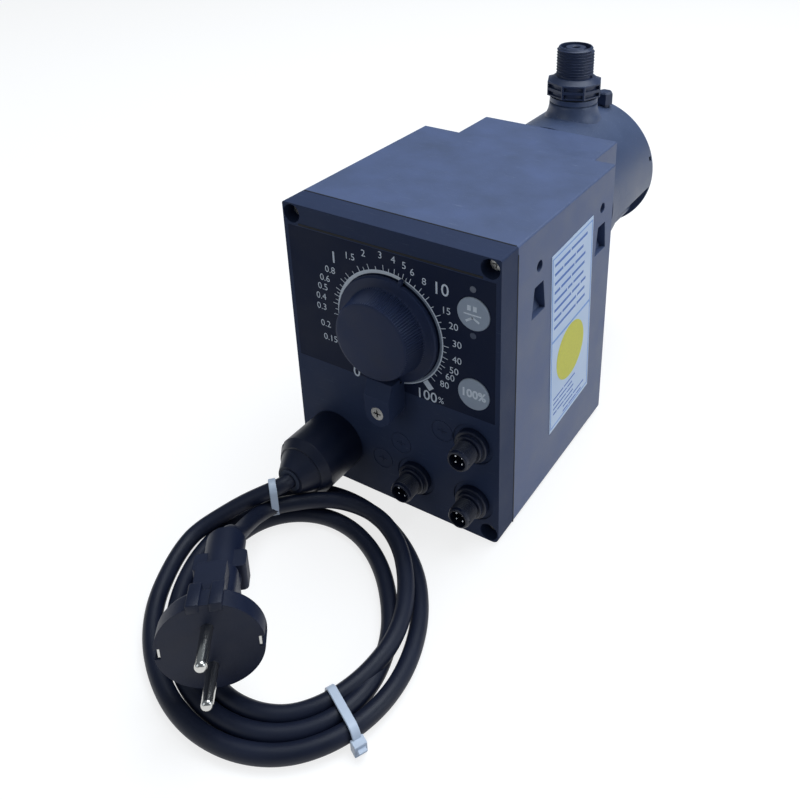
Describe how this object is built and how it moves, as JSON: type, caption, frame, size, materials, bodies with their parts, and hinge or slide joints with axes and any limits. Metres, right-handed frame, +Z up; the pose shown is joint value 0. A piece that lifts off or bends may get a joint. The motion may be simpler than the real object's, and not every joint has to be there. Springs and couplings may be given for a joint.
{
  "type": "diaphragm metering pump",
  "caption": "Motor-driven diaphragm dosing pump: boxed drive with scaled dial and keys, threaded sockets, round head with ball valves, coiled mains lead with plug.",
  "frame": {"origin": "centre of the housing's underside", "axes": "+Z up; the operator's panel faces -Y and the dosing head points to +Y; +X is on the right seen from the panel"},
  "size_m": [0.1378, 0.3832, 0.196],
  "materials": {
    "housing": "fine-grained anthracite moulding, roughness 0.55",
    "front": "dark navy-black moulding, roughness 0.5",
    "panel": "printed membrane with white dial print, roughness 0.45",
    "knob": "black ribbed moulding, roughness 0.5",
    "button": "light grey membrane key with dark pictogram",
    "lamp": "small unlit lamp lens",
    "connector": "black moulded socket thread",
    "contact": "gold-plated contact pin",
    "screw": "bright steel screw",
    "steel": "machined steel",
    "gasket": "black elastomer",
    "liner": "light grey elastomer sleeve",
    "board": "green circuit board",
    "frame_metal": "die-cast aluminium",
    "gear": "natural acetal",
    "bearing": "polished bearing steel",
    "head": "dark grey moulded head, lightly scratched",
    "valve": "dark moulded valve body",
    "ball": "white ceramic ball",
    "membrane": "white faced elastomer diaphragm",
    "label": null,
    "cable": "black rubber sheath, roughness 0.6",
    "plug": "black moulded plug",
    "pin": "nickel-plated plug pin",
    "tie": "translucent white nylon tie"
  },
  "bodies": {
    "pump": {"front_frame": "front", "rear_housing": "housing", "housing_seal": "gasket", "housing_screws": "screw", "service_label": "label", "control_panel": "panel", "dial_encoder": "connector", "panel_switches": "connector", "status_lamps": "lamp", "knob_lock": "front", "knob_lock_screw": "screw", "circuit_board": "board", "board_screws": "screw", "panel_nuts": "connector", "inlet_body": "connector", "inlet_nose": "connector", "inlet_liner": "liner", "drive_frame": "frame_metal", "drive_screws": "screw", "motor_body": "steel", "motor_screws": "screw", "shaft_bearings": "bearing", "rod_guide": "gear", "drive_flange": "housing", "diaphragm": "membrane", "head_body": "head", "head_cover": "head", "head_screws": "screw", "discharge_valve_body": "valve", "suction_valve_body": "valve", "discharge_gasket": "gasket", "suction_gasket": "gasket", "discharge_seat": "gasket", "suction_seat": "gasket", "upper_socket_shell": "connector", "right_socket_shell": "connector", "left_socket_shell": "connector", "socket_inserts": "connector", "socket_pins": "contact", "mains_lead_inlet_run": "cable", "mains_lead_plug_run": "cable", "mains_lead_coil": "cable", "plug_body": "plug", "plug_pins": "pin", "plug_earth_clips": "pin", "cable_ties": "tie"},
    "dial": {"dial_knob": "knob", "dial_shaft": "steel"},
    "mode_key": {"mode_button": "button"},
    "full_key": {"full_button": "button"},
    "motor_rotor": {"motor_shaft": "steel", "motor_pinion": "gear"},
    "eccentric": {"eccentric_shaft": "steel", "drive_gear": "gear", "eccentric_bearing": "bearing"},
    "plunger": {"connecting_rod": "steel", "diaphragm_core": "membrane"},
    "discharge_check": {"discharge_ball": "ball"},
    "suction_check": {"suction_ball": "ball"},
    "vent": {"vent_screw": "valve"}
  },
  "joints": [
    {"name": "knob_turn", "type": "hinge", "parent": "pump", "child": "dial", "pos_m": [0, -0.07, 0.106], "axis": [0, 1, 0], "range_deg": [-157, 122]},
    {"name": "mode_press", "type": "slide", "parent": "pump", "child": "mode_key", "axis": [0, 1, 0], "range_m": [0, 0.0005], "stiffness_N_per_m": 800},
    {"name": "full_press", "type": "slide", "parent": "pump", "child": "full_key", "axis": [0, 1, 0], "range_m": [0, 0.0005], "stiffness_N_per_m": 800},
    {"name": "eccentric_turn", "type": "hinge", "parent": "pump", "child": "eccentric", "pos_m": [0, 0.018, 0.11], "axis": [1, 0, 0], "range_deg": [0, 180]},
    {"name": "motor_turn", "type": "hinge", "parent": "pump", "child": "motor_rotor", "pos_m": [0, 0.018, 0.07], "axis": [1, 0, 0], "range_deg": [-720, 0]},
    {"name": "plunger_stroke", "type": "slide", "parent": "pump", "child": "plunger", "axis": [0, 1, 0], "range_m": [0, 0.003]},
    {"name": "discharge_ball_lift", "type": "slide", "parent": "pump", "child": "discharge_check", "axis": [0, 0, 1], "range_m": [0, 0.0015]},
    {"name": "suction_ball_lift", "type": "slide", "parent": "pump", "child": "suction_check", "axis": [0, 0, 1], "range_m": [0, 0.0015]},
    {"name": "vent_turn", "type": "hinge", "parent": "pump", "child": "vent", "pos_m": [0.01, 0.1645, 0.15], "axis": [0, 0, 1], "range_deg": [0, 180]}
  ],
  "couplings": [
    {"joint": "motor_turn", "follows": "eccentric_turn", "ratio": -4},
    {"joint": "plunger_stroke", "follows": "eccentric_turn", "m_per_rad": 0.00095493}
  ]
}
